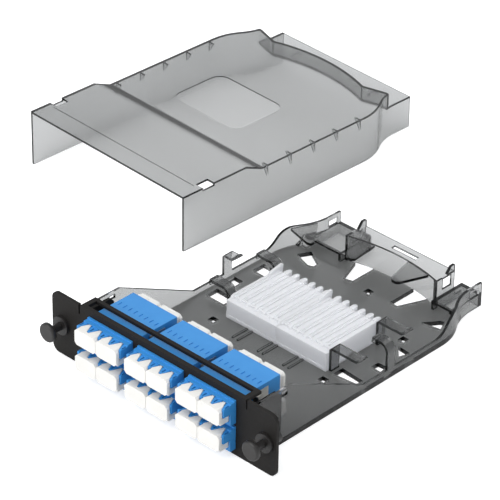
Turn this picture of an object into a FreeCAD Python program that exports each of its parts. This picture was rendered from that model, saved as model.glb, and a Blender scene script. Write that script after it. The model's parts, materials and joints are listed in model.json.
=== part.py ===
import FreeCAD, Part
import math
import os
import re
import Sketcher

# Fibre splice cassette: a black folded face plate carries six blue quad adapters
# with white dust caps, a smoke tray with fibre fingers and two splice holders sits
# behind it, and the smoke cover lies taken off beside the tray.
#
# The frame: origin at the middle of the two-plunger pattern, on the rear face of
# the face plate. +X is to the right seen from the front, +Y goes back into the
# tray, +Z is up. All sizes are millimetres.

os.makedirs("parts", exist_ok=True)
doc = FreeCAD.newDocument("fibre_cassette")

# Driving dimensions.
SIZES = {
    # face plate, folded from one sheet
    "plate_ear": 6.0,
    "plate_width": "=plunger_spacing + 2 * plate_ear",
    "plate_margin": 3.0,
    "plate_height": "=2 * adapter_height + row_gap + 2 * plate_margin",
    "plate_sheet": 1.5,
    "plate_corner": 3.5,
    "shelf_side": 2.5,
    "shelf_width": "=2 * (tray_half - shelf_side)",
    "shelf_depth": 7.5,
    "window_side": 2.5,
    "window_width": "=shelf_width - 2 * window_side",
    "window_front": 0.8,
    "window_depth": 4.8,
    "relief_width": 0.8,
    "relief_depth": 4.5,
    "tab_height": 21.0,
    "tab_length": 17.7,
    # plungers that fix the cassette in its housing
    "plunger_room": 8.5,
    "plunger_spacing": "=2 * (tray_half + plunger_room)",
    "grommet_radius": 3.0,
    "grommet_neck": 0.2,
    "grommet_seat": 3.0,
    "grommet_length": 5.5,
    "grommet_rim_radius": 4.3,
    "grommet_rim": 1.4,
    "plunger_radius": 1.75,
    "knob_radius": 4.4,
    "knob_thickness": 2.2,
    "knob_reach": 7.2,
    "plunger_travel": 4.0,
    # quad adapters in three columns and two rows
    "adapter_gap": 3.5,
    "adapter_pitch": "=adapter_width + adapter_gap",
    "row_gap": 1.6,
    "row_pitch": "=adapter_height + row_gap",
    "adapter_wall": 1.0,
    "adapter_width": "=4 * port_pitch + adapter_wall",
    "port_roof": 0.8,
    "adapter_height": "=port_bottom + port_height + latch_height + port_roof",
    "adapter_proud": 3.0,
    "adapter_length": 26.5,
    "shoulder_length": 3.2,
    "shoulder_step": 0.8,
    "stop_thickness": 1.4,
    "stop_rim": 0.6,
    "port_wall": 1.05,
    "port_pitch": "=port_width + port_wall",
    "port_width": 5.2,
    "port_height": 5.6,
    "port_bottom": 1.4,
    "port_depth": 9.0,
    "latch_width": 3.2,
    "latch_height": 3.4,
    "groove_length": 2.4,
    "groove_width": 0.5,
    "groove_depth": 0.4,
    # dust caps, one for each two ports
    "cap_gap": 0.2,
    "cap_width": "=2 * port_pitch - cap_gap",
    "cap_proud": 6.0,
    "cap_bottom": 2.3,
    "cap_clear": 0.4,
    "cap_top": "=port_bottom + port_height + latch_height - cap_clear",
    "cap_chamfer": 1.2,
    "cap_plate": 1.7,
    "fin_foot": 1.1,
    "fin_tip": 1.3,
    "fin_length": 2.8,
    "stem_width": "=port_width - 2 * slip_gap",
    "stem_bottom": "=port_bottom + slip_gap",
    "stem_height": 2.9,
    "stem_top": "=stem_bottom + stem_height",
    "stem_length": 6.5,
    # spring clips round the adapters
    "clip_sheet": 0.3,
    "clip_front": 8.0,
    "clip_length": 9.0,
    "clip_height": 9.4,
    # tray, one moulding
    "side_room": 8.0,
    "tray_half": "=adapter_pitch + adapter_width / 2 + side_room",
    "tail_step": 8.5,
    "tray_tail_half": "=tray_half - tail_step",
    "tail_run": 28.5,
    "tray_straight": "=tray_tail - tail_run",
    "tail_end": 7.0,
    "tray_tail": "=tray_length - tail_end",
    "tray_length": 152.5,
    "tray_floor": 2.2,
    "tray_wall": 1.3,
    "lid_gap": 0.6,
    "wall_high": "=cover_height - cover_wall - lid_gap",
    "wall_high_end": 23.0,
    "wall_low": 4.3,
    "wall_low_start": 67.5,
    "wall_tail": 11.8,
    "finger_thickness": 1.4,
    "rail_height": 0.8,
    "finger_width": 5.0,
    "box_left": -22.5,
    "box_right": 30.5,
    "box_depth": 12.3,
    "box_front": "=box_rear - box_depth",
    "box_bow": 4.0,
    "box_inset": 5.0,
    "box_rear": "=tray_length - box_inset",
    "box_height": 15.0,
    "box_wall": 1.5,
    "ledge_height": 6.5,
    "ledge_reach": 3.2,
    "ledge_front": "=box_front - ledge_reach",
    "ledge_ramp": 3.5,
    "box_lug": 3.2,
    # splice holders
    "holder_width": 29.0,
    "holder_length": 35.0,
    "holder_height": 10.2,
    "holder_front": 65.0,
    "holder_middle": 1.5,
    "comb_wall": 1.2,
    "comb_bulb": 1.2,
    "lip_height": 8.7,
    "lip_sheet": 1.0,
    "lip_slit": 0.4,
    # cover, one moulding
    "cover_wall": 1.1,
    "shelf_gap": 0.2,
    "cover_height": "=plate_height - plate_sheet - shelf_gap",
    "cover_front": 1.8,
    "cover_step": 40.5,
    "cover_slope": 10.0,
    "cover_drop": 4.3,
    "cover_panel": "=cover_height - cover_drop",
    "cover_overhang": 4.0,
    "cover_tail_height": "=box_height + cover_wall + slip_gap",
    "riser_inset": 6.5,
    "riser_side": "=box_rear - riser_inset",
    "riser_lead": 3.5,
    "riser_front": "=riser_side - riser_lead",
    "riser_shoulder": 12.0,
    "riser_half": "=tray_tail_half - riser_shoulder",
    "riser_radius": 92.0,
    "cover_aside": -131.8,
    "cover_behind": 91.8,
    "cover_turn": -2.2,
    # clearances
    "fit_gap": 0.1,
    "running_gap": 0.08,
    "slip_gap": 0.3,
}

sheet = doc.addObject("Spreadsheet::Sheet", "Size")
for row, word in enumerate(SIZES, start=1):
    sheet.set("A%d" % row, word)
    sheet.setAlias("B%d" % row, word)
for row, number in enumerate(SIZES.values(), start=1):
    sheet.set("B%d" % row, str(number))
doc.recompute()

NAMES = re.compile(r"\b(" + "|".join(sorted(SIZES, key=len, reverse=True)) + r")\b")
kept = []


def expr(text):
    """Sheet names in a formula become references to the sheet's cells."""
    return NAMES.sub(r"Size.\1", str(text))


def value(text):
    """The number that a formula on the sheet's names gives now."""
    return float(sheet.evalExpression(expr(text)))


def place(thing, x="0", y="0", z="0"):
    """Bind where an object stands to formulas."""
    for letter, text in (("x", x), ("y", y), ("z", z)):
        thing.setExpression("Placement.Base." + letter, expr(text))


def keep(thing, label):
    """Name a finished sub-part after its node."""
    thing.Label = label
    kept.append(thing)
    return thing


def new_body(name, x="0", y="0", z="-plate_height / 2"):
    """A body whose own zero height is the underside of the cassette."""
    body = doc.addObject("PartDesign::Body", name)
    place(body, x, y, z)
    return body


def plane_of(body, role):
    return [item for item in body.Origin.OriginFeatures if item.Role == role][0]


def arc_between(start, end, radius, side):
    """An arc of a given radius from start to end; side +1 turns left, -1 right."""
    middle = (start + end) * 0.5
    half = (end - start).Length / 2
    normal = FreeCAD.Vector(-(end - start).y, (end - start).x, 0).normalize()
    rise = math.sqrt(max(radius ** 2 - half ** 2, 0.0))
    centre = middle + normal * (rise * side)
    first = math.atan2(start.y - centre.y, start.x - centre.x)
    last = math.atan2(end.y - centre.y, end.x - centre.x)
    circle = Part.Circle(centre, FreeCAD.Vector(0, 0, 1), radius)
    if side > 0:
        return Part.ArcOfCircle(circle, first, last)
    return Part.ArcOfCircle(circle, last, first)


def draw(sketch, corners):
    """Draw one closed outline. A corner is (x, y), or (x, y, radius, side) where
    the edge that leaves it is an arc. Every number is a formula on the sheet."""
    if corners[0] == "circle":
        x, y, radius = [value(text) for text in corners[1:]]
        centre, upward = FreeCAD.Vector(x, y, 0), FreeCAD.Vector(0, 0, 1)
        edge = sketch.addGeometry(Part.Circle(centre, upward, radius), False)
        for rule, text in ((Sketcher.Constraint("DistanceX", -1, 1, edge, 3, x), corners[1]),
                           (Sketcher.Constraint("DistanceY", -1, 1, edge, 3, y), corners[2]),
                           (Sketcher.Constraint("Radius", edge, radius), corners[3])):
            sketch.setExpression("Constraints[%d]" % sketch.addConstraint(rule), expr(text))
        return
    points = [FreeCAD.Vector(value(corner[0]), value(corner[1]), 0) for corner in corners]
    edges = []
    for index, corner in enumerate(corners):
        start, end = points[index], points[(index + 1) % len(points)]
        if len(corner) == 2:
            edge = sketch.addGeometry(Part.LineSegment(start, end), False)
            edges.append((edge, 1, 2))
            continue
        arc = arc_between(start, end, value(corner[2]), corner[3])
        edge = sketch.addGeometry(arc, False)
        edges.append((edge, 1, 2) if corner[3] > 0 else (edge, 2, 1))
    for index, corner in enumerate(corners):
        edge, first, last = edges[index]
        following = edges[(index + 1) % len(edges)]
        sketch.addConstraint(Sketcher.Constraint("Coincident", edge, last, following[0], following[1]))
        for kind, text, number in (("DistanceX", corner[0], points[index].x),
                                   ("DistanceY", corner[1], points[index].y)):
            rule = Sketcher.Constraint(kind, -1, 1, edge, first, number)
            sketch.setExpression("Constraints[%d]" % sketch.addConstraint(rule), expr(text))
        if len(corner) == 4:
            rule = Sketcher.Constraint("Radius", edge, value(corner[2]))
            sketch.setExpression("Constraints[%d]" % sketch.addConstraint(rule), expr(corner[2]))


def extrude(body, kind, name, role, outlines, start, length):
    """Pad or pocket outlines drawn on an origin plane, from start over length,
    towards +X, +Y or +Z whichever the plane faces."""
    sketch = body.newObject("Sketcher::SketchObject", name + "_sketch")
    sketch.AttachmentSupport = [(plane_of(body, role), "")]
    sketch.MapMode = "FlatFace"
    away = "-(%s)" if role == "XZ_Plane" else "%s"
    sketch.setExpression("AttachmentOffset.Base.z", expr(away % start))
    for corners in outlines:
        draw(sketch, corners)
    doc.recompute()
    before = body.Shape.Volume if body.Tip else 0.0
    step = body.newObject("PartDesign::" + kind, name)
    step.Profile = sketch
    step.setExpression("Length", expr(length))
    step.Reversed = (role == "XZ_Plane") == (kind == "Pad")
    sketch.Visibility = False
    doc.recompute()
    change = body.Shape.Volume - before
    if change * (1 if kind == "Pad" else -1) <= 1e-6:
        raise RuntimeError("%s changes nothing" % name)
    return step


def pad(body, name, role, outlines, start, length):
    return extrude(body, "Pad", name, role, outlines, start, length)


def pocket(body, name, role, outlines, start, length):
    return extrude(body, "Pocket", name, role, outlines, start, length)


def rectangle(left, low, right, high):
    """Corners of a rectangle from four formulas."""
    return [(left, low), (right, low), (right, high), (left, high)]


def shift(text, amount):
    return "(%s) + (%s)" % (text, amount)


def copy_of(master, label, x, y, z="0", turned=False):
    """One more piece of a master shape, placed by formulas."""
    piece = doc.addObject("Part::Compound", label)
    piece.Links = [master]
    if turned:
        piece.Placement.Rotation = FreeCAD.Rotation(FreeCAD.Vector(0, 0, 1), 180)
    place(piece, x, y, z)
    return keep(piece, label)


# Face plate: a front sheet with rounded ears, a top shelf with a long window and
# two side tabs that lie inside the tray's walls.
COLUMNS = ("-adapter_pitch", "0", "adapter_pitch")
LOWEST = "plate_margin + adapter_height / 2 - plate_height / 2"
ROWS = (LOWEST, LOWEST + " + row_pitch")
COLUMN_WORDS = ("left", "middle", "right")
ROW_WORDS = ("lower", "upper")


def rounded_plate():
    """Front outline of the plate with four round corners."""
    side, top, cut = "plate_width / 2", "plate_height", "plate_corner"
    return [
        ("-%s + %s" % (side, cut), "0"),
        ("%s - %s" % (side, cut), "0", cut, 1),
        (side, cut),
        (side, "%s - %s" % (top, cut), cut, 1),
        ("%s - %s" % (side, cut), top),
        ("-%s + %s" % (side, cut), top, cut, 1),
        ("-" + side, "%s - %s" % (top, cut)),
        ("-" + side, cut, cut, 1),
    ]


def circle_outline(x, y, radius):
    """A full circle for draw()."""
    return ("circle", x, y, radius)


plate = new_body("plate_body")
pad(plate, "plate_front", "XZ_Plane", [rounded_plate()], "-plate_sheet", "plate_sheet")
pad(plate, "plate_shelf", "XY_Plane",
    [rectangle("-shelf_width / 2", "0", "shelf_width / 2", "shelf_depth")],
    "plate_height - plate_sheet", "plate_sheet")
pocket(plate, "shelf_window", "XY_Plane",
       [rectangle("-window_width / 2", "window_front", "window_width / 2",
                  "window_front + window_depth")],
       "plate_height - plate_sheet - 1", "plate_sheet + 2")
TAB_OUT = "tray_half - tray_wall - slip_gap"
for side, sign in (("left", -1), ("right", 1)):
    inner, outer = "%s - plate_sheet" % TAB_OUT, TAB_OUT
    if sign < 0:
        inner, outer = "-(%s)" % outer, "-(%s)" % inner
    pad(plate, side + "_tab", "YZ_Plane",
        [[("0", "plate_height / 2 - tab_height / 2"),
          ("tab_length - 2", "plate_height / 2 - tab_height / 2"),
          ("tab_length", "plate_height / 2 - tab_height / 2 + 2"),
          ("tab_length", "plate_height / 2 + tab_height / 2 - 2"),
          ("tab_length - 2", "plate_height / 2 + tab_height / 2"),
          ("0", "plate_height / 2 + tab_height / 2")]],
        inner, "plate_sheet")
cutouts = []
for column in COLUMNS:
    for row in ROWS:
        low = "plate_height / 2 + (%s) - adapter_height / 2 - fit_gap" % row
        cutouts.append(rectangle("%s - adapter_width / 2 - fit_gap" % column, low,
                                 "%s + adapter_width / 2 + fit_gap" % column,
                                 low + " + adapter_height + 2 * fit_gap"))
reliefs = []
for sign in ("-", ""):
    middle = "%s(shelf_width / 2 + relief_width / 2)" % sign
    reliefs.append(rectangle(middle + " - relief_width / 2", "plate_height - relief_depth",
                             middle + " + relief_width / 2", "plate_height + 1"))
holes = [circle_outline("%splunger_spacing / 2" % sign, "plate_height / 2",
                        "grommet_radius + grommet_neck + running_gap") for sign in ("-", "")]
pocket(plate, "plate_cutouts", "XZ_Plane", cutouts + reliefs + holes,
       "-plate_sheet - 1", "plate_sheet + 1.001")
keep(plate, "face_plate")

# Grommets and push-pull plungers at both ears.
grommet = new_body("grommet_body", z="0")
pad(grommet, "grommet_rim", "XZ_Plane", [circle_outline("0", "0", "grommet_rim_radius")],
    "-plate_sheet - grommet_rim - 0.02", "grommet_rim")
pad(grommet, "grommet_throat", "XZ_Plane",
    [circle_outline("0", "0", "grommet_radius + grommet_neck")],
    "-plate_sheet - 0.03", "plate_sheet + 0.23")
pad(grommet, "grommet_barrel", "XZ_Plane", [circle_outline("0", "0", "grommet_radius")],
    "0.2", "grommet_seat")
pad(grommet, "grommet_legs", "XZ_Plane",
    [circle_outline("0", "0", "grommet_radius - grommet_neck")],
    "grommet_seat", "grommet_length - grommet_seat")
pocket(grommet, "grommet_bore", "XZ_Plane",
       [circle_outline("0", "0", "plunger_radius + running_gap")],
       "-plate_sheet - grommet_rim - 1", "plate_sheet + grommet_rim + grommet_length + 2")
pocket(grommet, "grommet_slit", "XZ_Plane", [rectangle("-0.4", "-4", "0.4", "4")],
       "grommet_seat + 0.3", "grommet_length")

plunger = new_body("plunger_body", z="0")
KNOB_FRONT = "-plate_sheet - knob_reach - knob_thickness"
pad(plunger, "plunger_knob", "XZ_Plane", [circle_outline("0", "0", "knob_radius")],
    KNOB_FRONT, "knob_thickness")
pad(plunger, "plunger_neck", "XZ_Plane", [circle_outline("0", "0", "knob_radius * 0.6")],
    KNOB_FRONT + " + knob_thickness", "1.2")
pad(plunger, "plunger_pin", "XZ_Plane", [circle_outline("0", "0", "plunger_radius")],
    KNOB_FRONT + " + knob_thickness + 1.2", "plate_sheet + knob_reach + grommet_length - 1.2 - 0.5")
last = plunger.Tip
rim = ["Edge%d" % index for index, edge in enumerate(last.Shape.Edges, start=1)
       if abs(edge.BoundBox.YMin - value(KNOB_FRONT)) < 0.01 and edge.BoundBox.YLength < 0.01]
crown = plunger.newObject("PartDesign::Chamfer", "knob_chamfer")
crown.Base = (last, rim)
crown.Size = 0.5
doc.recompute()
for side, sign in (("left", "-"), ("right", "")):
    copy_of(grommet, side + "_grommet", sign + "plunger_spacing / 2", "0")
    copy_of(plunger, side + "_plunger", sign + "plunger_spacing / 2", "0")

# Quad adapters: one housing with four ports at each end.
PORTS = ("-1.5 * port_pitch", "-0.5 * port_pitch", "0.5 * port_pitch", "1.5 * port_pitch")
FRONT = "-plate_sheet - adapter_proud"
REAR = "adapter_length - plate_sheet - adapter_proud"


def port_outlines():
    """Each port is a square hole with a narrower latch slot above it."""
    outlines = []
    for port in PORTS:
        wide, narrow = "port_width / 2", "latch_width / 2"
        floor, step = "port_bottom", "port_bottom + port_height"
        roof = step + " + latch_height"
        outlines.append([
            ("%s - %s" % (port, wide), floor), ("%s + %s" % (port, wide), floor),
            ("%s + %s" % (port, wide), step), ("%s + %s" % (port, narrow), step),
            ("%s + %s" % (port, narrow), roof), ("%s - %s" % (port, narrow), roof),
            ("%s - %s" % (port, narrow), step), ("%s - %s" % (port, wide), step),
        ])
    return outlines


adapter = new_body("adapter_body", z="0")
HALF = "adapter_width / 2"
pad(adapter, "adapter_housing", "XZ_Plane",
    [rectangle("-" + HALF, "0", HALF, "adapter_height")],
    FRONT, "adapter_length - shoulder_length")
pad(adapter, "adapter_shoulder", "XZ_Plane",
    [rectangle("-%s + shoulder_step" % HALF, "shoulder_step / 2", "%s - shoulder_step" % HALF,
               "adapter_height - shoulder_step")],
    REAR + " - shoulder_length", "shoulder_length")
pad(adapter, "adapter_stop", "XZ_Plane",
    [rectangle("-%s - 2 * stop_rim" % HALF, "-stop_rim", "%s + 2 * stop_rim" % HALF,
               "adapter_height + stop_rim")],
    "fit_gap", "stop_thickness")
pocket(adapter, "front_ports", "XZ_Plane", port_outlines(), FRONT + " - 1", "port_depth + 1")
pocket(adapter, "rear_ports", "XZ_Plane", port_outlines(), REAR + " - port_depth", "port_depth + 1")
grooves = []
for step in range(8):
    middle = "(%s) * port_pitch / 2" % (step - 3.5)
    grooves.append(rectangle(middle + " - groove_width / 2", REAR + " - 6.5 - groove_length",
                             middle + " + groove_width / 2", REAR + " - 6.5"))
pocket(adapter, "top_grooves", "XY_Plane", grooves, "adapter_height - groove_depth", "groove_depth + 1")

# Spring clips: a sheet-steel channel under and beside each adapter.
clip = new_body("clip_body", z="0")
GAP = "fit_gap / 2"
outer, inner = "%s + %s + clip_sheet" % (HALF, GAP), "%s + %s" % (HALF, GAP)
pad(clip, "clip_channel", "XZ_Plane",
    [[("-(%s)" % outer, "-clip_sheet - %s" % GAP), (outer, "-clip_sheet - %s" % GAP),
      (outer, "clip_height"), (inner, "clip_height"), (inner, "-" + GAP),
      ("-(%s)" % inner, "-" + GAP), ("-(%s)" % inner, "clip_height"),
      ("-(%s)" % outer, "clip_height")]],
    "clip_front", "clip_length")
for side, sign in (("left", "-"), ("right", "")):
    root = "%s(%s)" % (sign, outer)
    tip = "%s(%s + 0.9)" % (sign, outer)
    inside = "%s(%s)" % (sign, inner)
    corners = [(root, "clip_front + 1.5"), (tip, "clip_front + 2"), (tip, "clip_front + 2.4"),
               (inside, "clip_front + clip_length - 1.5"), (inside, "clip_front + 1.5")]
    pad(clip, side + "_tongue", "XY_Plane", [corners], "adapter_height / 2 - 2", "4")

# Dust caps: a front plate with a fin into each latch slot, narrowing towards the
# adapter with an open wedge between fins, and a stem into each port below.
cap = new_body("cap_body", z="0")
SIDE, NOTCH = "cap_width / 2", "cap_plate - cap_proud"
TWO_PORTS = ("-0.5 * port_pitch", "0.5 * port_pitch")
plan = [("-" + SIDE, "-cap_proud"), (SIDE, "-cap_proud"), (SIDE, NOTCH)]
for port in reversed(TWO_PORTS):
    plan += [("%s + port_pitch / 2 - fin_foot / 2" % port, NOTCH),
             ("%s + fin_tip / 2" % port, "-fit_gap"), ("%s + fin_tip / 2" % port, "fin_length"),
             ("%s - fin_tip / 2" % port, "fin_length"), ("%s - fin_tip / 2" % port, "-fit_gap"),
             ("%s - port_pitch / 2 + fin_foot / 2" % port, NOTCH)]
plan += [("-" + SIDE, NOTCH)]
pad(cap, "cap_plate_and_fins", "XY_Plane", [plan], "cap_bottom", "cap_top - cap_bottom")
corners = []
for sign in ("-", ""):
    edge, inner = "%s(%s + 1)" % (sign, SIDE), "%s(%s - cap_chamfer)" % (sign, SIDE)
    corners.append([(edge, "cap_top + 1"), (inner, "cap_top + 1"), (inner, "cap_top"),
                    (edge, "cap_top - cap_chamfer - 1")])
    corners.append([(edge, "cap_bottom - 1"), (inner, "cap_bottom - 1"), (inner, "cap_bottom"),
                    (edge, "cap_bottom + cap_chamfer + 1")])
pocket(cap, "cap_corners", "XZ_Plane", corners, "-cap_proud - 1", "cap_plate + 2")
pocket(cap, "fin_relief", "YZ_Plane",
       [rectangle("-fit_gap / 2", "0", "fin_length + 1",
                  "port_bottom + port_height + slip_gap")],
       "-cap_width", "2 * cap_width")
pad(cap, "cap_stems", "XZ_Plane",
    [rectangle(port + " - stem_width / 2", "stem_bottom", port + " + stem_width / 2", "stem_top")
     for port in TWO_PORTS],
    "-cap_proud + cap_plate - 0.2", "cap_proud - cap_plate + 0.2 + stem_length")

for column, column_word in zip(COLUMNS, COLUMN_WORDS):
    for row, row_word in zip(ROWS, ROW_WORDS):
        where = "%s_%s" % (row_word, column_word)
        base = "(%s) - adapter_height / 2" % row
        copy_of(adapter, "adapter_" + where, column, "0", base)
        copy_of(clip, "clip_" + where, column, "0", base)
        for number, offset in ((1, "-port_pitch"), (2, "port_pitch")):
            x = "%s + (%s)" % (column, offset)
            copy_of(cap, "front_cap_%s_%d" % (where, number), x, FRONT, base)
            copy_of(cap, "rear_cap_%s_%d" % (where, number), x, REAR, base, turned=True)

# Tray: floor, side walls that fall from the front and draw in at the rear, fibre
# fingers, raised ledges at the rear corners and a bowed rear box with a shelf.
SLIDE = "(tray_half - tray_tail_half)"
RUN = "(tray_tail - tray_straight)"
SWEEP = "((%s ^ 2 + %s ^ 2) / (4 * %s))" % (RUN, SLIDE, SLIDE)
MIDDLE = "(tray_straight + tray_tail) / 2"


def ogee_outline(inset, front, rear):
    """Plan outline with both sides drawn in at the rear by two equal arcs. A
    parallel outline keeps the arcs' centres, so each radius takes the inset."""
    wide = "(tray_half - (%s))" % inset
    narrow = "(tray_tail_half - (%s))" % inset
    mean = "((tray_half + tray_tail_half) / 2 - (%s) * %s / %s)" % (inset, BEND_SIDE, SWEEP)
    turn = "(%s - (%s) * %s / %s)" % (MIDDLE, inset, BEND_ALONG, SWEEP)
    near, far = "(%s - (%s))" % (SWEEP, inset), "(%s + (%s))" % (SWEEP, inset)
    return [
        ("-" + wide, front), (wide, front), (wide, "tray_straight", near, 1),
        (mean, turn, far, -1), (narrow, "tray_tail"), (narrow, rear), ("-" + narrow, rear),
        ("-" + narrow, "tray_tail", far, -1), ("-" + mean, turn, near, 1),
        ("-" + wide, "tray_straight"),
    ]


# Where the two arcs meet, seen from the first arc's centre.
BEND_SIDE = "(%s - %s / 2)" % (SWEEP, SLIDE)
BEND_ALONG = "(%s / 2)" % RUN

tray = new_body("tray_body")
pad(tray, "tray_floor_plate", "XY_Plane", [ogee_outline("0", "slip_gap", "tray_length")],
    "0", "tray_floor")
pad(tray, "wall_block", "XY_Plane", [ogee_outline("0", "slip_gap", "tray_length")],
    "tray_floor - 0.01", "wall_high - tray_floor")
pocket(tray, "wall_hollow", "XY_Plane",
       [ogee_outline("tray_wall", "-1", "tray_length + 1")], "tray_floor", "wall_high")
pocket(tray, "wall_profile", "YZ_Plane",
       [[("wall_high_end", "wall_high + 1"), ("wall_high_end", "wall_high"),
         ("wall_low_start", "wall_low"), ("tray_straight - 4", "wall_low", "12", 1),
         ("tray_straight + 3", "(wall_low + wall_tail) / 2", "12", -1),
         ("tray_straight + 10", "wall_tail"), ("tray_length + 1", "wall_tail"),
         ("tray_length + 1", "wall_high + 1")]],
       "-tray_half - 1", "2 * tray_half + 2")
pocket(tray, "rear_windows", "YZ_Plane",
       [rectangle("tray_length - 8", "4.6", "tray_length - 1.8", "9.8")],
       "-tray_half - 1", "2 * tray_half + 2")
pocket(tray, "front_latch_holes", "YZ_Plane",
       [rectangle("17", "23.2", "20.2", "25")], "-tray_half - 1", "2 * tray_half + 2")

# Raised ledges under the two cable entries, each with a ramp at its front.
for side, start, end in (("left", "-tray_half + 1", "box_left"),
                         ("right", "box_right", "tray_half - 1")):
    pad(tray, side + "_ledge", "YZ_Plane",
        [[("ledge_front - ledge_ramp", "0.5"), ("tray_length", "0.5"),
          ("tray_length", "ledge_height"), ("ledge_front", "ledge_height"),
          ("ledge_front - ledge_ramp", "tray_floor")]],
        start, "(%s) - (%s)" % (end, start))

pocket(tray, "outside_trim", "XY_Plane",
       [rectangle("-tray_half - 5", "-5", "tray_half + 5", "tray_length + 5"),
        ogee_outline("0", "slip_gap", "tray_length")], "-1", "wall_high + 2")

# The ledges are hollow from below, so that the moulding is equally thick all over.
UNDER = "tray_wall + slip_gap"
for side, sign, inner in (("left", "-", "box_left - (%s)" % UNDER), ("right", "", "box_right + %s" % UNDER)):
    outer = "%s(tray_tail_half - (%s)%s)"
    pocket(tray, side + "_ledge_hollow", "XY_Plane",
           [[(inner, "ledge_front - 1"), (outer % (sign, UNDER, " + 4.2"), "ledge_front - 1"),
             (outer % (sign, UNDER, " + 2"), "ledge_front + 3"),
             (outer % (sign, UNDER, " + 0.5"), "ledge_front + 8"),
             (outer % (sign, UNDER, ""), "tray_tail"), (outer % (sign, UNDER, ""), "tray_length - 1.6"),
             (inner, "tray_length - 1.6")]],
           "-1", "ledge_height - tray_floor + 1")

# Rear box: bowed guide wall, end plates with windows, shelf with a slot.
BOX_SPAN = "(box_right - box_left)"
BOX_RADIUS = "(%s ^ 2 / (8 * box_bow) + box_bow / 2)" % BOX_SPAN
wall_outline = [
    ("box_left", "box_front + box_wall"), ("box_left", "box_front", BOX_RADIUS, -1),
    ("box_right", "box_front"), ("box_right", "box_front + box_wall", BOX_RADIUS, 1),
]
pad(tray, "guide_form", "XY_Plane", [wall_outline], "tray_floor - 0.5",
    "box_height - tray_floor + 0.5")
shelf_outline = [
    ("box_left", "box_rear"), ("box_left", "box_front", BOX_RADIUS, -1),
    ("box_right", "box_front"), ("box_right", "box_rear"),
]
pad(tray, "box_shelf", "XY_Plane", [shelf_outline], "box_height - box_wall", "box_wall")
for side, start in (("left", "box_left"), ("right", "box_right - box_wall")):
    pad(tray, side + "_end_plate", "YZ_Plane",
        [[("box_front", "1"), ("box_rear", "1"), ("box_rear", "box_height + box_lug"),
          ("box_rear - 2.4", "box_height + box_lug"), ("box_rear - 5", "box_height"),
          ("box_front", "box_height")]],
        start, "box_wall")
    pocket(tray, side + "_end_window", "YZ_Plane",
           [rectangle("box_front + 4.4", "9", "box_rear - 2.6", "box_height - 1.8")],
           start + " - 1", "box_wall + 2")
pocket(tray, "shelf_slot", "XY_Plane", [rectangle("-1.5", "box_rear - 5.5", "12.5", "box_rear - 3.1")],
       "box_height - box_wall - 1", "box_wall + 2")

# Fibre retention tabs that reach forward from the guide wall and the left wall.
TAB_SHEET = "finger_thickness"
for name, corners, top in (
        ("left_tab", [("-20", "box_front + 1"), ("-12", "box_front - 11.2"),
                      ("-10", "box_front - 12.6"), ("-8", "box_front - 12.6"),
                      ("-6.8", "box_front - 11.2"), ("-8", "box_front + 3.4")], "box_height"),
        ("right_tab", [("11", "box_front + 4"), ("14.2", "box_front - 11.2"),
                       ("15.6", "box_front - 12.4"), ("18", "box_front - 12.4"),
                       ("19.4", "box_front - 11.2"), ("24.5", "box_front + 1.6")], "box_height"),
        ("wall_tab", [("-tray_half + 3.5", "box_front - 9.2"), ("-tray_half + 16.5", "box_front - 12.6"),
                      ("-tray_half + 18.5", "box_front - 12"), ("-tray_half + 18.5", "box_front - 10.2"),
                      ("-tray_half + 9", "box_front + 2.8")], "wall_tail")):
    pad(tray, name + "_form", "XY_Plane", [corners], "%s - %s" % (top, TAB_SHEET), TAB_SHEET)


FINGERS = {}


def square_finger(name, root, tip, top, front, post="finger_thickness"):
    """An upright post with a flat flap; root and tip are X, and the tip turns up."""
    FINGERS[name] = (root, tip, top, front)
    way = 1 if value(tip) > value(root) else -1
    thick = "%d * (%s)" % (way, post)
    corners = [
        (root, "tray_floor - 0.5"), (shift(root, thick), "tray_floor - 0.5"),
        (shift(root, thick), "%s - finger_thickness" % top),
        (shift(tip, "%d * 2.2" % -way), "%s - finger_thickness" % top),
        (tip, "%s + 0.4" % top), (shift(tip, "%d * 0.9" % -way), "%s + 1" % top),
        (shift(tip, "%d * 2.8" % -way), top), (shift(root, thick), top),
        (root, "%s - finger_thickness" % top),
    ]
    pad(tray, name + "_form", "XZ_Plane", [corners], front, "finger_width")


def curled_finger(name, root, tip, top, curl, front, post="finger_thickness"):
    """A post that bends over in a quarter circle and ends in a lip turned down."""
    FINGERS[name] = (root, tip, top, front)
    way = 1 if value(tip) > value(root) else -1
    turn = -way
    thick = "%d * (%s)" % (way, post)
    bend = shift(root, "%d * (%s)" % (way, curl))
    corners = [
        (root, "tray_floor - 0.5"), (shift(root, thick), "tray_floor - 0.5"),
        (shift(root, thick), "%s - (%s)" % (top, curl), "%s - (%s)" % (curl, post), turn),
        (bend, "%s - (%s)" % (top, post)),
        (shift(tip, "%d * 1.5" % -way), "%s - (%s)" % (top, post)),
        (shift(tip, "%d * 0.8" % -way), "%s - 3" % top), (tip, "%s - 2.6" % top),
        (shift(tip, "%d * 0.4" % -way), top),
        (bend, top, curl, -turn), (root, "%s - (%s)" % (top, curl)),
    ]
    pad(tray, name + "_form", "XZ_Plane", [corners], front, "finger_width")


HOLDER_RIGHT = "holder_middle + fit_gap + holder_width"
square_finger("right_front_finger", HOLDER_RIGHT + " + 0.2", "tray_half - 2.5", "14.2",
              "holder_front + 1.8")
square_finger("right_rear_finger", HOLDER_RIGHT + " + 1", "tray_half - 2.5", "14.8", "95.2")
square_finger("left_wall_finger", "-tray_half", "-tray_half + 8", "14.8", "86", "tray_wall")
curled_finger("right_wall_finger", "tray_half", "tray_half - 9.5", "17.2", "5", "81.6",
              "tray_wall")
curled_finger("left_front_finger", "-tray_half + 16.5", "-tray_half + 4", "9.4", "4.5", "73.6")
curled_finger("left_rear_finger", "-tray_half + 16.9", "-tray_half + 4.5", "9.8", "4.5", "102.4")

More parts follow.
